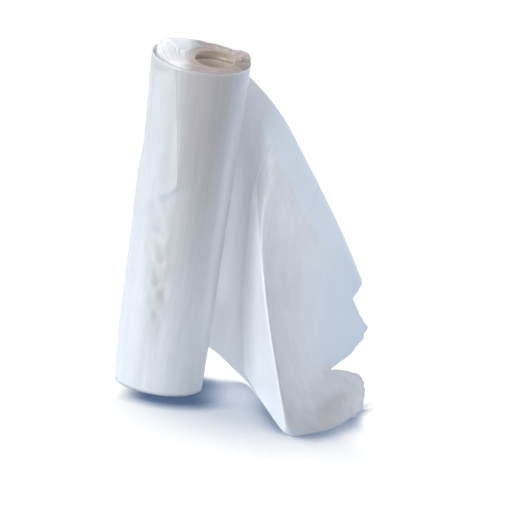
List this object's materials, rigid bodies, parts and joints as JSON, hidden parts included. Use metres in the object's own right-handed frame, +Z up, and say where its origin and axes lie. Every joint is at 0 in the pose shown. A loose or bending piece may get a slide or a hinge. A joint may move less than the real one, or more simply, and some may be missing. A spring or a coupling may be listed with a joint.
{
  "type": "roll of produce bags",
  "caption": "Roll of thin translucent film produce bags on a board core, stood on end, with its free end drawn off and draped beside it.",
  "frame": {"origin": "on the core's axis, in the plane that the roll stands on", "axes": "+Z up along the core's axis; +X towards the draped end; -Y towards the side that its main fold points to"},
  "size_m": [0.2323, 0.151, 0.306],
  "materials": {
    "film": "satin",
    "board": "matte"
  },
  "bodies": {
    "root": {"bag_web": "film", "core_tube": "board"}
  },
  "joints": []
}
